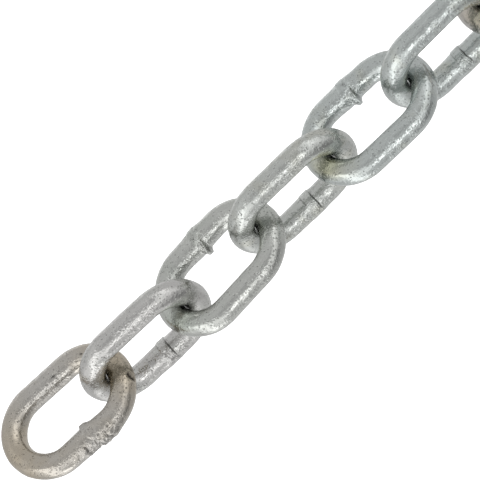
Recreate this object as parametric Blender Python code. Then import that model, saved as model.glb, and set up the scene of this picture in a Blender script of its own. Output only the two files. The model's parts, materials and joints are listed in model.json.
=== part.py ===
"""Welded steel chain, one metre of it, laid out straight on a level surface.

Every link is one length of round wire, bent to an oval and butt welded in the middle of one leg.
Each link hangs in the next with its plane turned a quarter turn, so on the floor the links lie
alternately on one leg and the other, all of them leaning at about 45 degrees.
The model is in metres, with +X along the chain and +Z up. Its origin is the middle of its box, on the floor.
"""
from math import cos, pi, radians, sin, sqrt

import bmesh
import bpy
from mathutils import Euler, Matrix, Vector

MM = 0.001

# Link size: 6 mm wire, 24 mm inside length
WIRE_DIAMETER = 6.0 * MM
INSIDE_LENGTH = 24.0 * MM
OUTSIDE_WIDTH = 24.8 * MM
LINK_COUNT = 42

# The joints branch both ways from this link, in the middle of the chain
ROOT_LINK = 21

# Weld in the middle of one leg: the wire is upset there, so it is thicker for a short way
WELD_HALF_LENGTH = 2.2 * MM
WELD_SWELL = 1.12

# Clearance left where one crown lies in the next
CONTACT_GAP = 0.3 * MM

# Facets of the wire's section and of each half-round crown
WIRE_SIDES = 10
CROWN_STEPS = 8

# How the links lie: the lean about the chain's own line, and the small turns of a chain laid by hand
LAY_LEANS = [radians(lean) for lean in (-44.5, -134.6, -47.4, -132.2, -47.6, -135.6)]
LAY_TURNS = [radians(turn) for turn in (-2.1, -1.1, 3.1, -0.1, -0.6, 0.8)]

# Bright zinc plating
ZINC_COLOUR = (0.60, 0.61, 0.60, 1.0)
ZINC_ROUGHNESS = 0.34
ZINC_METALLIC = 0.9

# Worked out from the sizes above
WIRE_RADIUS = WIRE_DIAMETER / 2
CROWN_RADIUS = (OUTSIDE_WIDTH - WIRE_DIAMETER) / 2
CROWN_REACH = (INSIDE_LENGTH + WIRE_DIAMETER) / 2
STRAIGHT_HALF = CROWN_REACH - CROWN_RADIUS
LAID_PITCH = INSIDE_LENGTH - CONTACT_GAP
PIVOT_TO_MIDDLE = LAID_PITCH - CROWN_REACH
# The faceted section has the round wire's area, and a crown's facets lie half outside the round crown
SECTION_CORNER_RADIUS = WIRE_RADIUS * sqrt(2 * pi / (WIRE_SIDES * sin(2 * pi / WIRE_SIDES)))
CROWN_CORNER_RADIUS = CROWN_RADIUS * 2 / (1 + cos(pi / CROWN_STEPS / 2))

# A ring of the wire's section lies across the leg, with one of its corners on the inner side
ACROSS_LEG = Matrix.Rotation(pi / 2, 4, "Y")


def clear_scene():
    """Remove every object that the scene starts with."""
    for item in list(bpy.data.objects):
        bpy.data.objects.remove(item, do_unlink=True)


def zinc_plated_steel():
    """The one finish of the chain."""
    material = bpy.data.materials.new("zinc_plated_steel")
    material.use_nodes = True
    shader = material.node_tree.nodes["Principled BSDF"]
    shader.inputs["Base Color"].default_value = ZINC_COLOUR
    shader.inputs["Roughness"].default_value = ZINC_ROUGHNESS
    shader.inputs["Metallic"].default_value = ZINC_METALLIC
    return material


def run_wire_on(bm, ring, shift, swell):
    """Extrude the open end of the wire by shift, and scale its new end ring by swell about its middle."""
    made = bmesh.ops.extrude_edge_only(bm, edges=ring)["geom"]
    corners = [item for item in made if isinstance(item, bmesh.types.BMVert)]
    end = [item for item in made if isinstance(item, bmesh.types.BMEdge)
           and all(corner in corners for corner in item.verts)]
    middle = sum((corner.co for corner in corners), Vector()) / len(corners)
    bmesh.ops.scale(bm, verts=corners, vec=Vector((swell, swell, swell)), space=Matrix.Translation(-middle))
    bmesh.ops.translate(bm, verts=corners, vec=shift)
    return end


def bend_crown(bm, ring, centre):
    """Bend the wire through half a turn about a crown's centre."""
    made = bmesh.ops.spin(bm, geom=ring, cent=centre, axis=(0, 0, -1), dvec=(0, 0, 0),
                          angle=pi, steps=CROWN_STEPS, use_duplicate=False)
    return [item for item in made["geom_last"] if isinstance(item, bmesh.types.BMEdge)]


def link_mesh(material):
    """One link about its near pivot, which is the middle of the wire of the link before it.

    The link lies in its own XY plane, with its far crown towards +X and the welded leg at +Y.
    """
    middle = Vector((PIVOT_TO_MIDDLE, 0, 0))
    near_centre = middle - Vector((STRAIGHT_HALF, 0, 0))
    far_centre = middle + Vector((STRAIGHT_HALF, 0, 0))
    leg_start = near_centre + Vector((0, CROWN_CORNER_RADIUS, 0))
    to_weld = Vector((STRAIGHT_HALF - WELD_HALF_LENGTH, 0, 0))
    through_weld = Vector((2 * WELD_HALF_LENGTH, 0, 0))
    back_leg = Vector((-2 * STRAIGHT_HALF, 0, 0))

    bm = bmesh.new()
    start = bmesh.ops.create_circle(bm, cap_ends=False, segments=WIRE_SIDES, radius=SECTION_CORNER_RADIUS,
                                    matrix=Matrix.Translation(leg_start) @ ACROSS_LEG)
    ring = list({edge for corner in start["verts"] for edge in corner.link_edges})
    ring = run_wire_on(bm, ring, to_weld, WELD_SWELL)
    ring = run_wire_on(bm, ring, through_weld, 1.0)
    ring = run_wire_on(bm, ring, to_weld, 1.0 / WELD_SWELL)
    ring = bend_crown(bm, ring, far_centre)
    ring = run_wire_on(bm, ring, back_leg, 1.0)
    bend_crown(bm, ring, near_centre)
    bmesh.ops.remove_doubles(bm, verts=bm.verts, dist=0.01 * MM)
    bmesh.ops.recalc_face_normals(bm, faces=bm.faces)

    mesh = bpy.data.meshes.new("link")
    bm.to_mesh(mesh)
    bm.free()
    mesh.materials.append(material)
    mesh.shade_smooth()
    return mesh


def lean_of(number):
    """Lean of a link about the chain's line. The first link lies the other way up, with its weld in view."""
    lean = LAY_LEANS[number % len(LAY_LEANS)]
    return lean + pi if number == 0 else lean


def lay_chain(mesh, carrier):
    """Lay the links in a row, each one's near pivot at the middle of the wire that the one before offers it.

    A link's origin is on the hinge that joins it towards the root: its near pivot after the root link,
    and the middle of its own far crown's wire before it.
    """
    mesh_before_root = mesh.copy()
    mesh_before_root.transform(Matrix.Translation((-LAID_PITCH, 0, 0)))
    links = []
    pivot = Vector((0, 0, 0))
    for number in range(LINK_COUNT):
        before_root = number + 1 < ROOT_LINK
        turned = Euler((lean_of(number), 0, LAY_TURNS[number % len(LAY_TURNS)]))
        next_pivot = pivot + turned.to_matrix() @ Vector((LAID_PITCH, 0, 0))
        link = bpy.data.objects.new(f"link_{number + 1:02d}", mesh_before_root if before_root else mesh)
        bpy.context.scene.collection.objects.link(link)
        link.parent = carrier
        link.location = next_pivot if before_root else pivot
        link.rotation_euler = turned
        links.append(link)
        pivot = next_pivot
    return links


def stand_on_origin(carrier, links):
    """Move the whole chain so that the middle of its box is over the origin and it rests on the floor."""
    bpy.context.view_layer.update()
    points = [link.matrix_world @ corner.co for link in links for corner in link.data.vertices]
    lowest = [min(point[axis] for point in points) for axis in range(3)]
    highest = [max(point[axis] for point in points) for axis in range(3)]
    carrier.location = (-(lowest[0] + highest[0]) / 2, -(lowest[1] + highest[1]) / 2, -lowest[2])
    bpy.context.view_layer.update()


def main():
    """Build the chain."""
    clear_scene()
    carrier = bpy.data.objects.new("chain", None)
    bpy.context.scene.collection.objects.link(carrier)
    links = lay_chain(link_mesh(zinc_plated_steel()), carrier)
    stand_on_origin(carrier, links)


main()
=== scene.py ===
"""Looks of a one-metre length of welded steel chain, zinc plated, laid out straight over a white floor.

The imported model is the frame. Each of its links is replaced by a smooth, finely divided one with its
weld, its dents and its plating, in the same place and riding on the same body.
Sizes are in metres. A link's own frame has +X along the chain, +Y towards the welded leg and +Z out of
the link's plane, with its origin at the middle of the wire that it hangs on.
"""
from __future__ import annotations

import json
import logging
from dataclasses import dataclass
from enum import Enum
from functools import cached_property
from math import atan2, cos, exp, pi, radians, sin, sqrt, tan
from typing import Union

import bmesh
import bpy
from mathutils import Euler, Matrix, Vector, noise

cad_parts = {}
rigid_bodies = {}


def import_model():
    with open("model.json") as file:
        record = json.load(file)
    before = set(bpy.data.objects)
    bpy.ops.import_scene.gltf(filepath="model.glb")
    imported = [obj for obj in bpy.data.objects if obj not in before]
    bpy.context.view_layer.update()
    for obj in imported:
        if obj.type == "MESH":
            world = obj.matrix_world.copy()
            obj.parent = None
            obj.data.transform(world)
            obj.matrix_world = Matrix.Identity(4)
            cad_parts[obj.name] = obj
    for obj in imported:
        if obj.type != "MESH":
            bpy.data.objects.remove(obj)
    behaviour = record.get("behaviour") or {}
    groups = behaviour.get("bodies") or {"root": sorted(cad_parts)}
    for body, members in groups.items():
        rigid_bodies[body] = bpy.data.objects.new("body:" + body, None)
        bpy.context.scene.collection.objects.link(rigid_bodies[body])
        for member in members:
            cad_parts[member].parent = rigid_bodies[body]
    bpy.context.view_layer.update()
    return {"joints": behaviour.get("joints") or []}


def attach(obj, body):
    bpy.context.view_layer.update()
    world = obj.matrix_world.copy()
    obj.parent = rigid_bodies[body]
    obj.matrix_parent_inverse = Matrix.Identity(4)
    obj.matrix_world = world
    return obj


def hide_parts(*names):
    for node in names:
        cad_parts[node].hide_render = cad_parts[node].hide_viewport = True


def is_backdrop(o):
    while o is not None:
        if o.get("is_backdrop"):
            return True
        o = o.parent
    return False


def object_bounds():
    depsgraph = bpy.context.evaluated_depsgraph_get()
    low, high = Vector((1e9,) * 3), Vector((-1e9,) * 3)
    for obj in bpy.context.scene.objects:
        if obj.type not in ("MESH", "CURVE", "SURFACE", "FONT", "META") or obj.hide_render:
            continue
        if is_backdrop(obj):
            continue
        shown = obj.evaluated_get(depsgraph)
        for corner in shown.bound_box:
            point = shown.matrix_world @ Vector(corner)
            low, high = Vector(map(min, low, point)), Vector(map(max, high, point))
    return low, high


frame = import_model()

log = logging.getLogger("chain")

MM = 0.001

# A node's input or output, and what an input can take: an output, a number or a colour
Socket = bpy.types.NodeSocket
Feed = Union[Socket, float, tuple]

# Two pairs of (input, output) that a smooth step runs between
Stops = tuple[tuple[float, float], tuple[float, float]]

# The open end of a wire that is being made
Ring = list[bmesh.types.BMEdge]

# The Mix node has a set of sockets for each data type, and these are the colour ones
MIX_COLOUR_A, MIX_COLOUR_B, MIX_COLOUR_RESULT = 6, 7, 2


def plateau(x: float, half: float, edge: float) -> float:
    """Height of a flat-topped hill with soft sides.

    Args:
        x: Distance from the hill's middle.
        half: Half of the hill's width, measured halfway up its sides.
        edge: Width of each side.

    Returns:
        1 on the top, 0 outside, and a smooth step between them.
    """
    t = min(max((half + edge / 2 - abs(x)) / edge, 0.0), 1.0)
    return t * t * (3 - 2 * t)


def bell(x: float, half: float) -> float:
    """A bell curve that is 1 at x = 0 and about a third at x = half."""
    return exp(-(x / half) ** 2)


@dataclass(frozen=True)
class Arc:
    """A part of the way round the wire, in degrees: 0 is the link's outside and 180 faces its eye."""

    middle: float
    half: float
    edge: float = 45.0

    def share(self, around: float) -> float:
        """1 on the arc, 0 away from it, at an angle round the wire in radians."""
        away = (around - radians(self.middle) + pi) % (2 * pi) - pi
        return plateau(away, radians(self.half), radians(self.edge))


ALL_ROUND = Arc(0, 400)


@dataclass(frozen=True)
class Bead:
    """A raised or sunken stretch of the wire with soft sides. Its sizes are in mm."""

    at: float
    top: float
    near: float
    far: float
    height: float
    arc: Arc = ALL_ROUND
    black: float = 0.0

    def share(self, along: float, around: float) -> float:
        """How much of the bead's height there is at one place.

        Args:
            along: Distance along the wire, in mm.
            around: Angle round the wire, in radians.

        Returns:
            1 on the bead's top and 0 far from it.
        """
        beyond = max(abs(along - self.at) - self.top, 0.0)
        side = self.near if along < self.at else self.far
        return bell(beyond, side) * self.arc.share(around)


class WeldStyle(Enum):
    """How the flash of a link's butt weld was left."""

    BURRED = "a blunt burr left in the eye and a rough, half-melted outer side"
    LIPPED = "a low ridge over the seam that ends in a lip in the eye"
    BANDED = "a low band with an open slit along its far edge"


@dataclass(frozen=True)
class WeldShape:
    """One style of weld: its beads, its rough patch, how far off the leg's middle it sits, and its slant."""

    beads: tuple[Bead, ...]
    rough: Bead
    at: float
    scatter: float
    slant: float


WELD_SHAPES: dict[WeldStyle, WeldShape] = {
    WeldStyle.BURRED: WeldShape(
        beads=(Bead(0.6, 1.8, 2.4, 2.4, 0.12),
               Bead(0.30, 0.50, 0.26, 1.10, 0.80, Arc(232, 26, 50)),
               Bead(3.2, 1.7, 0.35, 1.6, 0.42, Arc(25, 45)),
               Bead(0.9, 0.10, 0.40, 0.25, -0.22, Arc(5, 40), 0.15),
               Bead(-1.6, 0.1, 0.50, 0.25, -0.18, Arc(335, 30), 0.1)),
        rough=Bead(1.6, 3.4, 1.6, 1.8, 0.50, Arc(345, 40)), at=0.35, scatter=0.1, slant=0.0),
    WeldStyle.LIPPED: WeldShape(
        beads=(Bead(-0.9, 0.9, 2.2, 1.1, 0.20),
               Bead(-1.5, 0.75, 0.30, 0.30, 0.18, Arc(70, 45)),
               Bead(0.15, 0.0, 0.34, 0.20, 0.26, Arc(125, 45)),
               Bead(-0.10, 0.40, 0.45, 0.40, 0.85, Arc(203, 30, 40)),
               Bead(0.70, 0.08, 0.20, 0.30, -0.15, Arc(160, 50), 0.15)),
        rough=Bead(-0.1, 0.6, 0.7, 0.5, 0.14, Arc(140, 55)), at=0.6, scatter=-0.2, slant=0.7),
    WeldStyle.BANDED: WeldShape(
        beads=(Bead(-0.3, 1.2, 1.6, 1.1, 0.12),
               Bead(0.0, 1.05, 0.28, 0.12, 0.24, Arc(155, 45)),
               Bead(1.15, 0.0, 0.10, 0.14, -0.36, Arc(206, 44, 30), 0.85),
               Bead(-1.25, 0.0, 0.16, 0.12, -0.12, Arc(160, 30), 0.4),
               Bead(0.82, 0.0, 0.13, 0.13, 0.17, Arc(218, 34, 30)),
               Bead(0.60, 0.0, 0.10, 0.10, -0.06, Arc(222, 30, 30), 0.30),
               Bead(0.38, 0.0, 0.13, 0.13, 0.15, Arc(226, 30, 30)),
               Bead(0.14, 0.0, 0.10, 0.10, -0.05, Arc(230, 26, 30), 0.25),
               Bead(-0.08, 0.0, 0.13, 0.12, 0.10, Arc(232, 26, 30))),
        rough=Bead(0.2, 0.9, 0.7, 0.3, 0.12, Arc(235, 40)), at=0.8, scatter=0.5, slant=0.45),
}


@dataclass(frozen=True)
class Relief:
    """What the wire is like at one place: height over the round wire in mm, and the shares of its marks."""

    height: float = 0.0
    black: float = 0.0
    rough: float = 0.0


@dataclass(frozen=True)
class Weld:
    """The butt weld of one leg, as a relief over the round wire.

    The seed gives each weld its own slant, place and lumps. Lengths are in mm.
    """

    style: WeldStyle
    seed: float
    reach: float = 12.0
    slant_scatter: float = 0.6
    edge_wobble: float = 0.20
    height_scatter: float = 0.4
    wobbles_around: float = 1.7
    lumps_along: float = 1.1
    lumps_around: float = 2.8
    dirty_below: float = 0.30
    dirt_slope: float = 1.8
    most_dirt: float = 0.55

    @property
    def shape(self) -> WeldShape:
        """Beads and rough patch of this weld's style."""
        return WELD_SHAPES[self.style]

    def relief(self, along: float, around: float) -> Relief:
        """Relief of the weld at one place on the wire.

        Args:
            along: Distance from the leg's middle along the wire, in mm.
            around: Angle round the wire, 0 on the link's outside and pi in its eye.

        Returns:
            The relief there.
        """
        shape = self.shape
        if abs(along - shape.at) > self.reach:
            return Relief()
        # The seed comes in with a factor or step of its own each time, so that no two effects go together
        ring = Vector((self.wobbles_around * cos(around), self.wobbles_around * sin(around), self.seed))
        slant = (shape.slant + self.slant_scatter * shape.slant * sin(self.seed + 2.07)) * (1 + cos(around))
        shift = shape.scatter * sin(2.3 * self.seed)
        s = along - shape.at - shift - slant + self.edge_wobble * noise.noise(ring)
        uneven = 1 + self.height_scatter * noise.noise(ring * 0.8 + Vector((5, 5, 0)))
        height, black = 0.0, 0.0
        for bead in shape.beads:
            share = bead.share(s, around)
            height += bead.height * share * uneven
            black = max(black, bead.black * share)
        rough = shape.rough.share(s, around)
        spot = Vector((self.lumps_along * s, self.lumps_around * cos(around),
                       self.lumps_around * sin(around) + self.seed))
        lumps = noise.fractal(spot, 1.0, 2.0, 3)
        height += shape.rough.height * rough * lumps
        hollow = max(-self.dirt_slope * lumps - self.dirty_below, 0.0)
        black = max(black, rough * min(hollow, self.most_dirt))
        return Relief(height, black, rough)


@dataclass(frozen=True)
class Nick:
    """A short cut or pock in a link's wire, or a raised lip where depth is below zero, in mm and degrees.

    A nick of black_depth or more is painted black in its middle as its shade, and the painted shade is wider
    than its hollow by spread.
    """

    along: float
    around: float
    half_length: float
    half_width: float
    depth: float
    black_depth: float = 0.20
    spread: float = 1.5

    def share(self, along: float, around: float, radius: float) -> float:
        """1 in the middle of the nick and 0 far from it, on a wire of some radius, in mm and radians."""
        sideways = (around - radians(self.around) + pi) % (2 * pi) - pi
        return bell(along - self.along, self.half_length) * bell(sideways * radius, self.half_width)

    def black(self, share: float) -> float:
        """How black the nick's painted shade is where it has a share of its depth. A raised lip has no
        painted shade.
        """
        return min(self.spread * share, 1.0) * min(max(self.depth, 0.0) / self.black_depth, 1.0)


# The nicks of each link that has any, by the link's number from 0 at the free end
NICKS: dict[int, tuple[Nick, ...]] = {
    0: (Nick(16.5, 323, 0.40, 0.50, 0.55), Nick(16.2, 336, 0.46, 0.52, 0.70),
        Nick(15.9, 348, 0.36, 0.45, 0.50), Nick(15.1, 338, 0.40, 0.70, -0.22),
        Nick(38.2, 244, 0.60, 0.22, 0.30), Nick(29.5, 260, 0.35, 0.20, 0.20),
        Nick(12.5, 290, 0.18, 0.20, 0.09), Nick(13.0, 298, 0.18, 0.18, 0.07),
        Nick(13.5, 306, 0.20, 0.18, 0.09), Nick(12.6, 308, 0.18, 0.20, 0.07),
        Nick(13.7, 292, 0.16, 0.18, 0.06)),
}


class PlatingTint(Enum):
    """Hue of a link's zinc plating and the stain on it, as (plain, stain) colours in linear RGB."""

    WARM = ((0.522, 0.508, 0.482), (0.50, 0.44, 0.35))
    STEELY = ((0.555, 0.565, 0.540), (0.47, 0.51, 0.46))
    NEUTRAL = ((0.580, 0.575, 0.560), (0.47, 0.50, 0.46))
    COOL = ((0.545, 0.580, 0.568), (0.53, 0.52, 0.38))
    OLIVE = ((0.565, 0.582, 0.560), (0.52, 0.50, 0.38))


@dataclass(frozen=True)
class ZincFinish:
    """Bright zinc plating on drawn wire: a satin grey metal with streaks, pits and stains, darkened by the
    weld scale and by the painted shade that the mesh carries.

    Sizes are the distance from one feature to the next, and heights and depths are those of the bumps.
    Shares say how strongly a mark colours the metal, and glosses how much rougher it makes it.
    Stops turn a noise, or the distance from a cell's middle, into how much of the feature there is.
    """

    tint: PlatingTint
    roughness: float = 0.19
    scale_and_shade_colour: tuple[float, float, float] = (0.022, 0.020, 0.018)

    patch_size: float = 6.0 * MM
    coarse_size: float = 3.2 * MM
    uneven_size: float = 1.5 * MM
    pit_size: float = 0.84 * MM
    speck_size: float = 0.72 * MM
    bead_size: float = 0.50 * MM
    grain_size: float = 0.35 * MM
    raggedness: float = 0.5
    cluster_weights: tuple[float, float] = (0.6, 0.7)
    streaks_around: float = 5.0
    streaks_along: float = 3.5

    uneven_height: float = 0.080 * MM
    streak_height: float = 0.040 * MM
    grain_height: float = 0.020 * MM
    bead_height: float = 0.19 * MM
    rough_height: float = 0.13 * MM
    speck_depth: float = 0.110 * MM
    pit_depth: float = 0.060 * MM

    streak_tone: float = 0.14
    grain_tone: float = 0.16
    patch_share: float = 0.22
    soil_share: float = 0.85
    painted_shade_share: float = 0.10
    scale_and_nick_shade_share: float = 0.97
    pit_share: float = 0.50
    speck_share: float = 0.30
    pit_brightness: float = 0.25

    grain_gloss: float = 0.12
    pit_gloss: float = 0.20
    scale_and_shade_gloss: float = 0.35
    worn_smoothness: float = 0.70

    stain_stops: Stops = ((0.50, 0.0), (0.68, 1.0))
    coarse_stops: Stops = ((0.42, 0.32), (0.60, 1.0))
    pit_stops: Stops = ((0.10, 1.0), (0.34, 0.0))
    cluster_stops: Stops = ((0.66, 0.0), (0.78, 1.0))
    speck_stops: Stops = ((0.16, 1.0), (0.34, 0.0))
    speck_lot_stops: Stops = ((0.85, 0.0), (1.05, 1.0))

    @property
    def name(self) -> str:
        """Name of the material."""
        return f"zinc_plating_{self.tint.name.lower()}"

    def material(self) -> bpy.types.Material:
        """The material of this finish, made once and shared by every link with this tint."""
        found = bpy.data.materials.get(self.name)
        return found or self._make()

    def _make(self) -> bpy.types.Material:
        """A new material with its node tree.

        Returns:
            The material.
        """
        material = bpy.data.materials.new(self.name)
        material.use_nodes = True
        bench = NodeBench(material.node_tree)
        shader = material.node_tree.nodes["Principled BSDF"]
        shader.inputs["Metallic"].default_value = 1.0
        patches = bench.noise(self.patch_size, detail=2.0)
        uneven = bench.noise(self.uneven_size, detail=2.0)
        grain = bench.noise(self.grain_size, detail=1.5)
        streaks = self._streaks(bench)
        pits = self._pits(bench, patches, uneven)
        specks = self._specks(bench, uneven)

        # Near-black mix: the weld scale, plus painted shade at the crown contacts, along the eye-side line
        # and in the nicks
        scale_and_shade = bench.maths("MAXIMUM", bench.maths("MULTIPLY", bench.mark("painted_shade"), self.painted_shade_share),
                           bench.maths("MULTIPLY", bench.mark("scale_and_nick_shade"), self.scale_and_nick_shade_share))
        colour = self._clean_colour(bench, patches, streaks, grain)
        dents = bench.maths("MAXIMUM", bench.maths("MULTIPLY", pits, self.pit_share),
                            bench.maths("MULTIPLY", specks, self.speck_share))
        plain, _ = self.tint.value
        colour = bench.mix(colour, (*[self.pit_brightness * part for part in plain], 1.0), dents)
        colour = bench.mix(colour, (*self.scale_and_shade_colour, 1.0), scale_and_shade)
        bench.join(colour, shader.inputs["Base Color"])

        gloss = bench.maths("MULTIPLY_ADD", grain, self.grain_gloss, self.roughness - self.grain_gloss / 2)
        gloss = bench.maths("MULTIPLY_ADD", pits, self.pit_gloss, gloss)
        gloss = bench.maths("MULTIPLY_ADD", scale_and_shade, self.scale_and_shade_gloss, gloss)
        bench.join(gloss, shader.inputs["Roughness"])

        normal = bench.bump(uneven, self.uneven_height)
        normal = bench.bump(streaks, self.streak_height, normal)
        normal = bench.bump(grain, self.grain_height, normal)
        normal = bench.bump(self._beads(bench), self.bead_height, normal)
        normal = bench.bump(bench.maths("MULTIPLY", grain, bench.mark("rough")), self.rough_height, normal)
        normal = bench.bump(specks, -self.speck_depth, normal)
        normal = bench.bump(pits, -self.pit_depth, normal)
        bench.join(normal, shader.inputs["Normal"])
        return material

    def _clean_colour(self, bench: NodeBench, patches: Socket, streaks: Socket, grain: Socket) -> Socket:
        """Colour of the plating with its stains, before pits, weld scale and painted shade.

        Args:
            bench: The tree's bench.
            patches: Slow noise that says where the plating is a little stained.
            streaks: The drawing marks.
            grain: Fine noise.

        Returns:
            The colour.
        """
        plain, stain = self.tint.value
        stained = bench.ramp(patches, self.stain_stops)
        soil = bench.maths("MULTIPLY", bench.mark("soil"), self.soil_share)
        stained = bench.maths("MULTIPLY_ADD", stained, self.patch_share, soil)
        colour = bench.mix((*plain, 1.0), (*stain, 1.0), bench.maths("MINIMUM", stained, 1.0))
        return bench.vary(bench.vary(colour, streaks, self.streak_tone), grain, self.grain_tone)

    def _beads(self, bench: NodeBench) -> Socket:
        """Beads of the plating, coarse in patches on the legs and rubbed down on the crowns.

        Args:
            bench: The tree's bench.

        Returns:
            The relief, 0 to 1.
        """
        beads = bench.noise(self.bead_size, detail=2.0)
        coarse = bench.ramp(bench.noise(self.coarse_size, detail=2.0), self.coarse_stops)
        left = bench.maths("MULTIPLY_ADD", bench.mark("worn"), -self.worn_smoothness, 1.0)
        return bench.maths("MULTIPLY", beads, bench.maths("MULTIPLY", coarse, left))

    def _streaks(self, bench: NodeBench) -> Socket:
        """Drawing marks along the wire, from noise that closes on itself both ways.

        The attributes around and along hold the directions round the wire and along its closed run.

        Args:
            bench: The tree's bench.

        Returns:
            A value between 0 and 1.
        """
        around = bench.attribute("around").outputs["Vector"]
        along = bench.split(bench.attribute("along").outputs["Vector"])
        parts = bench.split(bench.tone(around, self.streaks_around))
        third, fourth = [bench.maths("MULTIPLY", part, self.streaks_along) for part in along[:2]]
        joined = bench.add("ShaderNodeCombineXYZ", {0: parts[0], 1: parts[1], 2: third}).outputs[0]
        feeds = {"Vector": joined, "W": fourth, "Scale": 1.0, "Detail": 3.0}
        return bench.add("ShaderNodeTexNoise", feeds, noise_dimensions="4D").outputs["Fac"]

    def _pits(self, bench: NodeBench, patches: Socket, uneven: Socket) -> Socket:
        """Pits of the plating, which come in clusters.

        Args:
            bench: The tree's bench.
            patches: Slow noise that says where the clusters are.
            uneven: Quicker noise that breaks the clusters up.

        Returns:
            1 in a pit and 0 outside.
        """
        cells = bench.cells(bench.place, self.pit_size)
        hole = bench.ramp(cells.outputs["Distance"], self.pit_stops)
        slow, quick = self.cluster_weights
        where = bench.maths("MULTIPLY_ADD", patches, slow, bench.maths("MULTIPLY", uneven, quick))
        cluster = bench.ramp(where, self.cluster_stops)
        return bench.maths("MULTIPLY", hole, cluster)

    def _specks(self, bench: NodeBench, uneven: Socket) -> Socket:
        """Ragged pinholes all over the plating, denser in some places than in others.

        Args:
            bench: The tree's bench.
            uneven: Quick noise that says where there are more of them.

        Returns:
            1 in a pinhole and 0 outside.
        """
        ragged = bench.add("ShaderNodeTexNoise", {"Vector": bench.place, "Scale": 1 / self.grain_size})
        push = (self.raggedness * self.speck_size,) * 3
        feeds = {0: ragged.outputs["Color"], 1: push, 2: bench.place}
        moved = bench.add("ShaderNodeVectorMath", feeds, operation="MULTIPLY_ADD")
        cells = bench.cells(moved.outputs[0], self.speck_size)
        hole = bench.ramp(cells.outputs["Distance"], self.speck_stops)
        lot = bench.split(cells.outputs["Color"])[0]
        chosen = bench.ramp(bench.maths("ADD", lot, uneven), self.speck_lot_stops)
        return bench.maths("MULTIPLY", hole, chosen)


class NodeBench:
    """Adds nodes to one tree and joins them."""

    def __init__(self, tree: bpy.types.NodeTree) -> None:
        """Work on a material's or the world's node tree."""
        self.tree = tree

    @cached_property
    def place(self) -> Socket:
        """Object coordinates, which are those of the whole chain at rest."""
        return self.add("ShaderNodeTexCoord").outputs["Object"]

    def add(self, kind: str, feeds: dict[int | str, Feed] | None = None,
            **settings: object) -> bpy.types.Node:
        """A new node.

        Args:
            kind: The node's type.
            feeds: What its inputs take, by their numbers or names.
            settings: Properties to set on it.

        Returns:
            The node.
        """
        node = self.tree.nodes.new(kind)
        for name, value in settings.items():
            setattr(node, name, value)
        for name, value in (feeds or {}).items():
            self.join(value, node.inputs[name])
        return node

    def join(self, source: Feed, socket: Socket) -> None:
        """Link a socket to another, or set a plain value on it.

        Args:
            source: An output socket, a number or a colour.
            socket: The input to feed.
        """
        if isinstance(source, Socket):
            self.tree.links.new(source, socket)
        else:
            socket.default_value = source

    def attribute(self, name: str) -> bpy.types.Node:
        """A node that reads one of the mesh's attributes."""
        return self.add("ShaderNodeAttribute", attribute_type="GEOMETRY", attribute_name=name)

    def mark(self, name: str) -> Socket:
        """The share of one of the marks that the mesh carries, 0 to 1."""
        return self.attribute(name).outputs["Fac"]

    def split(self, vector: Socket) -> list[Socket]:
        """The three parts of a vector or colour."""
        return list(self.add("ShaderNodeSeparateXYZ", {0: vector}).outputs)

    def noise(self, size: float, detail: float) -> Socket:
        """Noise between 0 and 1, with a distance between its features in metres and its octaves."""
        feeds = {"Vector": self.place, "Scale": 1 / size, "Detail": detail}
        return self.add("ShaderNodeTexNoise", feeds).outputs["Fac"]

    def cells(self, place: Socket, size: float) -> bpy.types.Node:
        """Irregular cells, with a distance between their middles in metres."""
        return self.add("ShaderNodeTexVoronoi", {"Vector": place, "Scale": 1 / size, "Randomness": 1.0})

    def maths(self, operation: str, *values: Feed) -> Socket:
        """A Math node's result, from its inputs in order."""
        return self.add("ShaderNodeMath", dict(enumerate(values)), operation=operation).outputs[0]

    def ramp(self, value: Socket, stops: Stops) -> Socket:
        """A smooth step between two stops.

        Args:
            value: The input.
            stops: Two pairs of (input, output).

        Returns:
            The value between the outputs.
        """
        (low, out_low), (high, out_high) = stops
        feeds = {"Value": value, "From Min": low, "From Max": high, "To Min": out_low, "To Max": out_high}
        return self.add("ShaderNodeMapRange", feeds, interpolation_type="SMOOTHSTEP").outputs["Result"]

    def mix(self, a: Feed, b: Feed, share: Feed) -> Socket:
        """A mix of two colours, with a share of the second."""
        feeds = {"Factor": share, MIX_COLOUR_A: a, MIX_COLOUR_B: b}
        return self.add("ShaderNodeMix", feeds, data_type="RGBA").outputs[MIX_COLOUR_RESULT]

    def tone(self, colour: Socket, factor: Feed) -> Socket:
        """A colour or vector multiplied by a number."""
        return self.add("ShaderNodeVectorMath", {0: colour, "Scale": factor}, operation="SCALE").outputs[0]

    def vary(self, colour: Socket, value: Socket, amount: float) -> Socket:
        """The colour, from half the amount darker where the value is 0 to half of it lighter at 1."""
        return self.tone(colour, self.maths("MULTIPLY_ADD", value, amount, 1 - amount / 2))

    def bump(self, height: Socket, distance: float, normal: Socket | None = None) -> Socket:
        """A bump on top of another.

        Args:
            height: The relief, 0 to 1.
            distance: Height of 1 in metres, below zero for a hollow.
            normal: The normal to start from.

        Returns:
            The new normal.
        """
        feeds = {"Strength": 1.0, "Distance": abs(distance), "Height": height}
        if normal is not None:
            feeds["Normal"] = normal
        return self.add("ShaderNodeBump", feeds, invert=distance < 0).outputs["Normal"]


@dataclass(frozen=True)
class Ripple:
    """A layer of the wire's unevenness: changes along and round the wire, and its height in mm."""

    along: float
    around: float
    height: float
    shift: tuple[float, float, float] = (0.0, 0.0, 0.0)

    def height_at(self, place: Vector, ring: Vector) -> float:
        """Height of the layer at a place on the link's closed run, in a direction round the wire."""
        return self.height * noise.noise(self.along * place + self.around * ring + Vector(self.shift))


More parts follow.
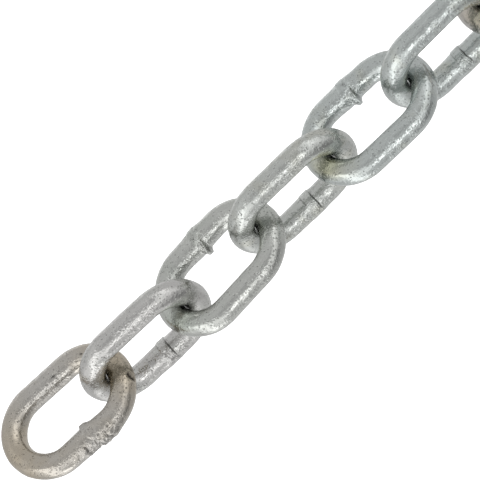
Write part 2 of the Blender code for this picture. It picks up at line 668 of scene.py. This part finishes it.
@dataclass(frozen=True)
class BendMarks:
    """What bending did to the wire of the crowns: flatter outside, wider towards the eye. Sizes are in mm."""

    half: float = 9.0
    edge: float = 8.0
    wide_sides: tuple[Arc, ...] = (Arc(122, 32), Arc(238, 32))
    widening: float = 0.22
    eye_side: Arc = Arc(180, 35)
    filling: float = 0.10
    outside: Arc = Arc(0, 40)
    flattening: float = 0.18

    def height(self, beyond_crown: float, around: float) -> float:
        """Height that a bend adds to the round wire.

        Args:
            beyond_crown: Distance along the wire from the crown's middle.
            around: Angle round the wire, in radians.

        Returns:
            The height.
        """
        share = plateau(beyond_crown, self.half, self.edge)
        wider = sum(side.share(around) for side in self.wide_sides)
        return share * (self.widening * wider + self.filling * self.eye_side.share(around)
                        - self.flattening * self.outside.share(around))


@dataclass(frozen=True)
class WearAndShade:
    """Where painted contact shade, stains and rubbing show on a link, in mm along the wire and as arcs round
    it.

    The painted shade line is on the leg whose outward side turns away from +Y beyond right_leg, along its eye
    side where the other leg shades it.
    """

    contact_shade_half: float = 4.5
    contact_shade_arc: Arc = Arc(180, 55, 70)
    stain_offset: float = 4.2
    stain_half: float = 4.5
    stain_arc: Arc = Arc(88, 45, 55)
    end_stain_half: float = 11.0
    worn_half: float = 11.0
    worn_edge: float = 8.0
    right_leg: float = -0.3
    eye_shade_half: float = 0.14
    eye_shade_edge: float = 0.08
    eye_shade_strength: float = 0.8


# Unevenness of every link's wire, and how much thinner the wire is to make up for the humps, in mm
RIPPLES = (Ripple(0.32, 1.1, 0.05), Ripple(0.9, 2.6, 0.022, (3, 1, 4)))
RIPPLE_SLACK = 0.02

# The closed run of a link is wound on a circle for the noise, and each link has a level of its own
NOISE_LOOP_RADIUS = 13
NOISE_LINK_STEP = 7.3

# Spacing of the rings on the welded leg, in mm, with their number: close together over the weld
WELD_LEG_STEPS = ((0.45, 8), (0.15, 38), (0.38, 5))


@dataclass
class ChainLink:
    """One link: an oval of round wire with a butt weld in the middle of one leg.

    The crown flags say whether the near crown and the far crown hold another link, which puts painted contact
    shade on that crown.
    """

    number: int
    pivot: Vector
    turn: Euler
    weld: Weld
    finish: ZincFinish
    wire_radius: float = 3.0 * MM
    crown_radius: float = 9.4 * MM
    straight_half: float = 5.6 * MM
    pivot_to_middle: float = 8.7 * MM
    crowns_in_contact: tuple[bool, bool] = (True, True)
    bends: BendMarks = BendMarks()
    wear_and_shade: WearAndShade = WearAndShade()
    wire_sides: int = 72
    crown_steps: int = 36
    leg_steps: int = 10

    @property
    def name(self) -> str:
        """Name of the link's CAD node and body."""
        return f"link_{self.number + 1:02d}"

    @property
    def run(self) -> float:
        """Length of the wire's closed centre line."""
        return 4 * self.straight_half + 2 * pi * self.crown_radius

    @property
    def to_crown(self) -> float:
        """Distance along the wire, in mm, from the middle of the welded leg to the middle of a crown."""
        return (self.straight_half + self.crown_radius * pi / 2) / MM

    def weld_stops(self) -> list[float]:
        """Places of the rings on the welded leg, close together over the weld.

        Returns:
            Distances from the leg's start, in metres, without the start itself.
        """
        steps = [length * MM for length, count in WELD_LEG_STEPS for _ in range(count)]
        spare = 2 * self.straight_half - sum(steps)
        steps = [step + spare / len(steps) for step in steps]
        return [sum(steps[:k + 1]) for k in range(len(steps))]

    def bare_wire(self) -> bpy.types.Mesh:
        """The round wire bent to an oval, before its relief. It is made once and shared.

        Returns:
            The mesh, about the link's pivot.
        """
        name = f"bare_link_{self.crown_steps}"
        found = bpy.data.meshes.get(name)
        if found:
            return found
        bm = bmesh.new()
        middle = Vector((self.pivot_to_middle, 0, 0))
        side = Vector((self.straight_half, 0, 0))
        start = middle - side + Vector((0, self.crown_radius, 0))
        across = Matrix.Translation(start) @ Matrix.Rotation(pi / 2, 4, "Y")
        ring = bmesh.ops.create_circle(bm, cap_ends=False, segments=self.wire_sides,
                                       radius=self.wire_radius, matrix=across)
        edges = list({edge for corner in ring["verts"] for edge in corner.link_edges})
        done = 0.0
        for stop in self.weld_stops():
            edges = self._extrude(bm, edges, Vector((stop - done, 0, 0)))
            done = stop
        edges = self._bend(bm, edges, middle + side)
        for _ in range(self.leg_steps):
            edges = self._extrude(bm, edges, Vector((-2 * self.straight_half / self.leg_steps, 0, 0)))
        self._bend(bm, edges, middle - side)
        bmesh.ops.remove_doubles(bm, verts=bm.verts, dist=0.005 * MM)
        bmesh.ops.recalc_face_normals(bm, faces=bm.faces)
        mesh = bpy.data.meshes.new(name)
        bm.to_mesh(mesh)
        bm.free()
        return mesh

    @staticmethod
    def _extrude(bm: bmesh.types.BMesh, edges: Ring, shift: Vector) -> Ring:
        """Extrude the wire's open end.

        Args:
            bm: The mesh.
            edges: The end's ring of edges.
            shift: Where the end goes.

        Returns:
            The new end's ring of edges.
        """
        made = bmesh.ops.extrude_edge_only(bm, edges=edges)["geom"]
        corners = {item for item in made if isinstance(item, bmesh.types.BMVert)}
        bmesh.ops.translate(bm, verts=list(corners), vec=shift)
        return [item for item in made if isinstance(item, bmesh.types.BMEdge)
                and all(corner in corners for corner in item.verts)]

    def _bend(self, bm: bmesh.types.BMesh, edges: Ring, centre: Vector) -> Ring:
        """Bend the wire through half a turn.

        Args:
            bm: The mesh.
            edges: The end's ring of edges.
            centre: Centre of the crown.

        Returns:
            The new end's ring of edges.
        """
        made = bmesh.ops.spin(bm, geom=edges, cent=centre, axis=(0, 0, -1), dvec=(0, 0, 0), angle=pi,
                              steps=self.crown_steps, use_merge=False, use_duplicate=False)
        return [item for item in made["geom_last"] if isinstance(item, bmesh.types.BMEdge)]

    def unroll(self, corner: Vector) -> tuple[float, float, Vector, Vector]:
        """Where a point of the bare wire lies along and round the wire.

        Args:
            corner: The point in the link's frame.

        Returns:
            Distance along the centre line from the weld's middle (metres, below zero towards the near
            crown), the angle round the wire (0 on the link's outside), the nearest point of the centre
            line, and the outward direction in the link's plane there.
        """
        x, y = corner.x - self.pivot_to_middle, corner.y
        half, bend = self.straight_half, self.crown_radius
        if abs(x) <= half:
            out = Vector((0, 1 if y > 0 else -1, 0))
            run = x if y > 0 else 2 * half + pi * bend - x
            middle = Vector((x, out.y * bend, 0))
        else:
            end = half if x > 0 else -half
            out = Vector((x - end, y, 0)).normalized()
            middle = Vector((end, 0, 0)) + out * bend
            swing = atan2(abs(out.x), out.y)
            run = (half + bend * swing) * (1 if x > 0 else -1)
        if run > self.run / 2:
            run -= self.run
        middle.x += self.pivot_to_middle
        offset = corner - middle
        return run, atan2(offset.z, offset.dot(out)), middle, out

    def relief(self, along: float, around: float) -> Relief:
        """Relief of the whole link at one place on its wire.

        Args:
            along: Distance from the leg's middle along the wire, in mm.
            around: Angle round the wire.

        Returns:
            The relief there.
        """
        weld = self.weld.relief(along, around)
        swing = 2 * pi * along / (self.run / MM)
        place = Vector((NOISE_LOOP_RADIUS * cos(swing), NOISE_LOOP_RADIUS * sin(swing),
                        NOISE_LINK_STEP * self.number))
        ring = Vector((cos(around), sin(around), 0))
        height = weld.height
        for ripple in RIPPLES:
            height += ripple.height_at(place, ring)
        height -= RIPPLE_SLACK
        height += self.bends.height(abs(along) - self.to_crown, around)
        black = weld.black
        # Each nick sinks the wire and paints shade into its hollow
        for nick in NICKS.get(self.number, ()):
            share = nick.share(along, around, self.wire_radius / MM)
            height -= nick.depth * share
            black = max(black, nick.black(share))
        return Relief(height, black, weld.rough)

    def painted_shade(self, along: float, around: float) -> float:
        """Share of the painted shade on the inner side of a crown, where the next link rubs and shades it.

        Args:
            along: Distance from the leg's middle along the wire, in mm.
            around: Angle round the wire.

        Returns:
            1 in the middle of the contact, and 0 away from it or on a crown that holds no link.
        """
        near, far = self.crowns_in_contact
        if not (far if along > 0 else near):
            return 0.0
        return bell(abs(along) - self.to_crown, self.wear_and_shade.contact_shade_half) * self.wear_and_shade.contact_shade_arc.share(around)

    def eye_side_shade(self, out: Vector, spoke: Vector) -> float:
        """Share of the painted shade line along the eye side of the right-hand leg, where the other leg
        shades it.

        Args:
            out: Outward direction of the leg or crown in the link's frame.
            spoke: Direction out of the wire in the link's frame.

        Returns:
            The strength of the painted shade on the line and 0 away from it.
        """
        if (self.turn.to_matrix() @ out).y > self.wear_and_shade.right_leg:
            return 0.0
        aside = (self.turn.to_matrix() @ spoke).y - 1
        return self.wear_and_shade.eye_shade_strength * plateau(aside, self.wear_and_shade.eye_shade_half, self.wear_and_shade.eye_shade_edge)

    def soil(self, along: float, around: float) -> float:
        """Share of the stain: on the upper side of the near crown, or on both crowns of the free end's link.

        Args:
            along: Distance from the leg's middle along the wire, in mm.
            around: Angle round the wire.

        Returns:
            1 in the middle of the stain and 0 far from it.
        """
        wear_and_shade = self.wear_and_shade
        if self.number == 0:
            return bell(abs(along) - self.to_crown, wear_and_shade.end_stain_half)
        return bell(along + self.to_crown + wear_and_shade.stain_offset, wear_and_shade.stain_half) * wear_and_shade.stain_arc.share(around)

    def worn(self, along: float) -> float:
        """Share of the crowns that handling has rubbed smooth."""
        return plateau(abs(along) - self.to_crown, self.wear_and_shade.worn_half, self.wear_and_shade.worn_edge)

    def build(self) -> bpy.types.Object:
        """Make the link, dress it, and put it in its place in the chain.

        Returns:
            The link's object, riding on its body in place of its CAD node.
        """
        bm = bmesh.new()
        bm.from_mesh(self.bare_wire())
        around_layer = bm.verts.layers.float_vector.new("around")
        along_layer = bm.verts.layers.float_vector.new("along")
        marks = {name: bm.verts.layers.float.new(name)
                 for name in ("scale_and_nick_shade", "rough", "painted_shade", "soil", "worn")}
        for corner in bm.verts:
            run, around, middle, out = self.unroll(corner.co)
            place = self.relief(run / MM, around)
            spoke = out * cos(around) + Vector((0, 0, sin(around)))
            corner.co = middle + spoke * (self.wire_radius + place.height * MM)
            swing = 2 * pi * run / self.run
            corner[around_layer] = (cos(around), sin(around), 0)
            corner[along_layer] = (cos(swing), sin(swing), 0)
            # Black of the weld scale, together with the painted shade in the nicks
            corner[marks["scale_and_nick_shade"]] = place.black
            corner[marks["rough"]] = place.rough
            # Painted shade: the contact shade on the inner side of held crowns, and the shade line along one
            # leg's eye side
            corner[marks["painted_shade"]] = max(self.painted_shade(run / MM, around), self.eye_side_shade(out, spoke))
            corner[marks["soil"]] = self.soil(run / MM, around)
            corner[marks["worn"]] = self.worn(run / MM)
        bmesh.ops.transform(bm, matrix=Matrix.Translation(self.pivot) @ self.turn.to_matrix().to_4x4(),
                            verts=bm.verts)
        mesh = bpy.data.meshes.new(f"{self.name}_wire")
        bm.to_mesh(mesh)
        bm.free()
        mesh.shade_smooth()
        mesh.materials.append(self.finish.material())
        link = bpy.data.objects.new(f"{self.name}_wire", mesh)
        bpy.context.scene.collection.objects.link(link)
        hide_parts(self.name)
        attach(link, self.name)
        log.info("%s: %s weld, %s plating, %d corners", self.name, self.weld.style.name,
                 self.finish.tint.name, len(mesh.vertices))
        return link


@dataclass
class Chain:
    """The laid chain: every link hangs in the next, turned a quarter turn."""

    pitch: float = 23.7 * MM
    leans: tuple[float, ...] = tuple(radians(lean) for lean in (-44.5, -134.6, -47.4, -132.2, -47.6, -135.6))
    turns: tuple[float, ...] = tuple(radians(turn) for turn in (-2.1, -1.1, 3.1, -0.1, -0.6, 0.8))
    tints: tuple[PlatingTint, ...] = (PlatingTint.WARM, PlatingTint.NEUTRAL, PlatingTint.STEELY,
                                      PlatingTint.OLIVE, PlatingTint.COOL, PlatingTint.COOL)
    burred_every: int = 12
    first_seed: float = 1.0
    seed_step: float = 2.39
    nicked_crown_steps: int = 96

    def pivots(self) -> list[Vector]:
        """The pivot of every link, the middle of the wire it hangs on.

        Returns:
            One point a link, from the free end on. The first hangs on nothing, so its pivot is one
            pitch before the second's.
        """
        found = {}
        for joint in frame["joints"]:
            later = max(int(joint[side].split("_")[1]) for side in ("parent", "child"))
            found[later] = Vector(joint["pos_m"])
        points = [found[number] for number in sorted(found)]
        first = points[0] - Vector((cos(self.turns[0]), sin(self.turns[0]), 0)) * self.pitch
        return [first, *points]

    def style_of(self, number: int) -> WeldStyle:
        """Style of a link's weld.

        Args:
            number: The link's number, from 0 at the free end.

        Returns:
            The style.
        """
        if number % self.burred_every == 0:
            return WeldStyle.BURRED
        return WeldStyle.BANDED if number % 2 else WeldStyle.LIPPED

    def link(self, number: int, pivot: Vector, is_last: bool) -> ChainLink:
        """One link with its lie, weld and finish. The first lies the other way up, with its weld in view.

        Args:
            number: The link's number, from 0 at the free end.
            pivot: The middle of the wire that it hangs on.
            is_last: Whether no link follows.

        Returns:
            The link, not yet built.
        """
        lean = self.leans[number % len(self.leans)] + (pi if number == 0 else 0)
        turn = Euler((lean, 0, self.turns[number % len(self.turns)]))
        weld = Weld(self.style_of(number), self.first_seed + self.seed_step * number)
        link = ChainLink(number, pivot, turn, weld, ZincFinish(self.tints[number % len(self.tints)]))
        if number == 0 or is_last:
            link.crowns_in_contact = (number > 0, number == 0)
        if number in NICKS:
            link.crown_steps = self.nicked_crown_steps
        return link

    def build(self) -> None:
        """Make every link."""
        pivots = self.pivots()
        for number, pivot in enumerate(pivots):
            self.link(number, pivot, number == len(pivots) - 1).build()


@dataclass(frozen=True)
class Glow:
    """A soft strip of the surroundings that is brighter or darker than the rest.

    It lies round some directions. Its radius and the fade at its edge are angles in radians.
    """

    directions: tuple[tuple[float, float, float], ...]
    radius: float
    fade: float
    strength: float

    def add_to(self, light: Feed, direction: Socket, bench: NodeBench) -> Socket:
        """Add the strip to the light of the surroundings.

        Args:
            light: The light so far, a socket or a number.
            direction: The direction looked in.
            bench: The world's bench.

        Returns:
            The light with the strip.
        """
        nearest = None
        for place in self.directions:
            feeds = {0: direction, 1: Vector(place).normalized()}
            near = bench.add("ShaderNodeVectorMath", feeds, operation="DOT_PRODUCT").outputs["Value"]
            nearest = near if nearest is None else bench.maths("MAXIMUM", nearest, near)
        inner, outer = max(self.radius - self.fade, 0.0), self.radius + self.fade
        share = bench.ramp(nearest, ((cos(outer), 0.0), (cos(inner), 1.0)))
        return bench.maths("MULTIPLY_ADD", share, self.strength, light)


@dataclass(frozen=True)
class KeyLight:
    """The large soft light over the chain."""

    direction: tuple[float, float, float] = (0.02, -0.31, 0.95)
    distance: float = 3.0
    half_angle: float = radians(8.0)
    radiance: float = 1.95

    def build(self, target: Vector) -> None:
        """Hang the light.

        Args:
            target: The point it shines on.
        """
        lamp = bpy.data.lights.new("key", "AREA")
        lamp.shape = "DISK"
        lamp.size = 2 * self.distance * tan(self.half_angle)
        # The power of a disk is its radiance times pi times its area
        lamp.energy = self.radiance * pi * pi * (lamp.size / 2) ** 2
        light = bpy.data.objects.new("key", lamp)
        towards = Vector(self.direction).normalized()
        light.location = target + towards * self.distance
        light.rotation_euler = towards.to_track_quat("Z", "Y").to_euler()
        bpy.context.scene.collection.objects.link(light)


@dataclass(frozen=True)
class PhotoCamera:
    """The camera at the photograph's viewing angle: high over the free end, turned about its own axis."""

    target: tuple[float, float, float] = (-0.43117, 0.00052, 0.0097)
    distance: float = 0.75
    lean_along: float = radians(4.27)
    lean_across: float = radians(10.03)
    roll: float = radians(44.25)
    focal: float = 250.2
    sensor_width: float = 36.0
    sight: float = 50.0

    @property
    def towards(self) -> Vector:
        """Direction from the target to the camera."""
        x, y = sin(self.lean_along), sin(self.lean_across)
        return Vector((x, y, sqrt(1 - x * x - y * y)))

    def build(self) -> None:
        """Set up the camera."""
        back = self.towards
        along = (Vector((1, 0, 0)) - back * back.x).normalized()
        left = back.cross(along)
        right = cos(self.roll) * along - sin(self.roll) * left
        up = sin(self.roll) * along + cos(self.roll) * left
        data = bpy.data.cameras.new("camera")
        data.sensor_fit = "HORIZONTAL"
        data.sensor_width = self.sensor_width
        data.lens = self.focal
        data.clip_end = self.sight
        camera = bpy.data.objects.new("camera", data)
        camera.matrix_world = Matrix((right, up, back)).transposed().to_4x4()
        camera.location = Vector(self.target) + back * self.distance
        bpy.context.scene.collection.objects.link(camera)
        bpy.context.scene.camera = camera


@dataclass(frozen=True)
class Surface:
    """Plain matt finish of the floor or the wall, which glows so that it stays white."""

    name: str
    reflectance: float
    specular: float
    glow: float
    roughness: float = 0.9

    def material(self) -> bpy.types.Material:
        """Make the material.

        Returns:
            The material.
        """
        material = bpy.data.materials.new(self.name)
        material.use_nodes = True
        shader = material.node_tree.nodes["Principled BSDF"]
        shader.inputs["Base Color"].default_value = (*(self.reflectance,) * 3, 1)
        shader.inputs["Roughness"].default_value = self.roughness
        shader.inputs["Specular IOR Level"].default_value = self.specular
        shader.inputs["Emission Color"].default_value = (1, 1, 1, 1)
        shader.inputs["Emission Strength"].default_value = self.glow
        return material


@dataclass
class Studio:
    """White floor, pale wall round it, surroundings, light and camera."""

    floor_radius: float = 30.0
    floor_drop: float = 0.6
    floor_sides: int = 96
    floor_finish: Surface = Surface("white_floor", reflectance=0.85, specular=0.5, glow=0.75)
    backdrop_height: float = 12.0
    backdrop_finish: Surface = Surface("pale_wall", reflectance=0.0, specular=0.0, glow=1.0)
    grey: float = 0.66
    camera: PhotoCamera = PhotoCamera()
    key: KeyLight = KeyLight()
    glows: tuple[Glow, ...] = (
        Glow(((-0.80, 0.20, 0.57), (-0.79, -0.13, 0.60), (-0.78, -0.43, 0.46), (-0.71, -0.67, 0.20),
              (-0.55, -0.83, 0.10)), radians(13), radians(4), 1.10),
        Glow(((-0.40, -0.90, 0.12), (-0.34, -0.94, 0.02)), radians(8), radians(5), 0.60),
        Glow(((-0.46, -0.80, -0.38),), radians(9), radians(6), 0.40),
        Glow(((0.70, 0.60, 0.38), (0.70, 0.38, 0.60), (0.60, 0.09, 0.79), (0.40, -0.17, 0.90),
              (0.14, -0.32, 0.94), (-0.17, -0.42, 0.89), (-0.43, -0.47, 0.77)),
             radians(11), radians(5), 0.46),
        Glow(((-0.54, 0.00, 0.84), (-0.42, -0.14, 0.90)), radians(9), radians(6), 0.50),
        Glow(((0.82, 0.38, 0.42), (0.90, -0.02, 0.43)), radians(12), radians(8), 0.34),
        Glow(((-0.70, 0.69, 0.14), (-0.53, 0.83, 0.15)), radians(10), radians(7), 0.18),
        Glow(((0.42, 0.80, 0.43), (0.60, 0.70, 0.38), (0.78, 0.56, 0.26)), radians(9), radians(6), 0.18),
        Glow(((-0.98, -0.05, 0.08),), radians(18), radians(12), 0.28),
        Glow(((-0.07, 0.54, -0.84),), radians(16), radians(9), 0.33),
        Glow(((-0.10, -0.95, 0.15), (-0.12, -0.80, -0.58)), radians(20), radians(14), 0.10),
        Glow(((0.92, -0.25, 0.31), (0.70, -0.59, 0.41), (0.44, -0.80, 0.41), (0.15, -0.94, 0.30)),
             radians(13), radians(5), -0.32),
        Glow(((0.60, -0.80, -0.05),), radians(28), radians(12), -0.12),
        Glow(((0.30, 0.40, 0.87), (0.06, 0.42, 0.90), (-0.18, 0.40, 0.90)), radians(10), radians(7), -0.17),
    )

    def build(self) -> None:
        """Set up everything that isn't the chain."""
        self._floor()
        self._backdrop()
        self._surroundings()
        self.key.build(Vector(self.camera.target))
        self.camera.build()
        bpy.context.scene.view_settings.view_transform = "Standard"
        bpy.context.scene.view_settings.look = "None"

    def _floor(self) -> None:
        """A pale floor well below the chain, where no link that hangs down in a pose reaches it."""
        bm = bmesh.new()
        bmesh.ops.create_circle(bm, cap_ends=True, segments=self.floor_sides, radius=self.floor_radius)
        floor = self._stand("floor", bm, self.floor_finish)
        floor.visible_glossy = False
        floor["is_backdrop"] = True

    def _backdrop(self) -> None:
        """A pale wall round the floor for the low views, which neither lights nor shades the metal."""
        bm = bmesh.new()
        rim = bmesh.ops.create_circle(bm, cap_ends=False, segments=self.floor_sides, radius=self.floor_radius)
        edges = list({edge for corner in rim["verts"] for edge in corner.link_edges})
        made = bmesh.ops.extrude_edge_only(bm, edges=edges)["geom"]
        corners = [item for item in made if isinstance(item, bmesh.types.BMVert)]
        bmesh.ops.translate(bm, verts=corners, vec=Vector((0, 0, self.backdrop_height)))
        wall = self._stand("backdrop", bm, self.backdrop_finish)
        wall.visible_glossy = wall.visible_diffuse = wall.visible_shadow = False
        wall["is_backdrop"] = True

    def _stand(self, name: str, bm: bmesh.types.BMesh, finish: Surface) -> bpy.types.Object:
        """Stand a piece of the studio at the floor's level.

        Args:
            name: Its name.
            bm: Its mesh, which is freed.
            finish: Its finish.

        Returns:
            The object.
        """
        mesh = bpy.data.meshes.new(name)
        bm.to_mesh(mesh)
        bm.free()
        mesh.materials.append(finish.material())
        piece = bpy.data.objects.new(name, mesh)
        piece.location.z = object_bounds()[0][2] - self.floor_drop
        bpy.context.scene.collection.objects.link(piece)
        return piece

    def _surroundings(self) -> None:
        """An even grey room with the bright strips and the darker patches of the glows."""
        world = bpy.data.worlds.new("studio")
        world.use_nodes = True
        bench = NodeBench(world.node_tree)
        direction = bench.add("ShaderNodeTexCoord").outputs["Generated"]
        light = self.grey
        for glow in self.glows:
            light = glow.add_to(light, direction, bench)
        background = world.node_tree.nodes["Background"]
        bench.join(light, background.inputs["Color"])
        bpy.context.scene.world = world


def main() -> None:
    """Build the chain and its studio."""
    logging.basicConfig(level=logging.INFO, format="%(message)s")
    Chain().build()
    Studio().build()


if __name__ == "__main__":
    main()
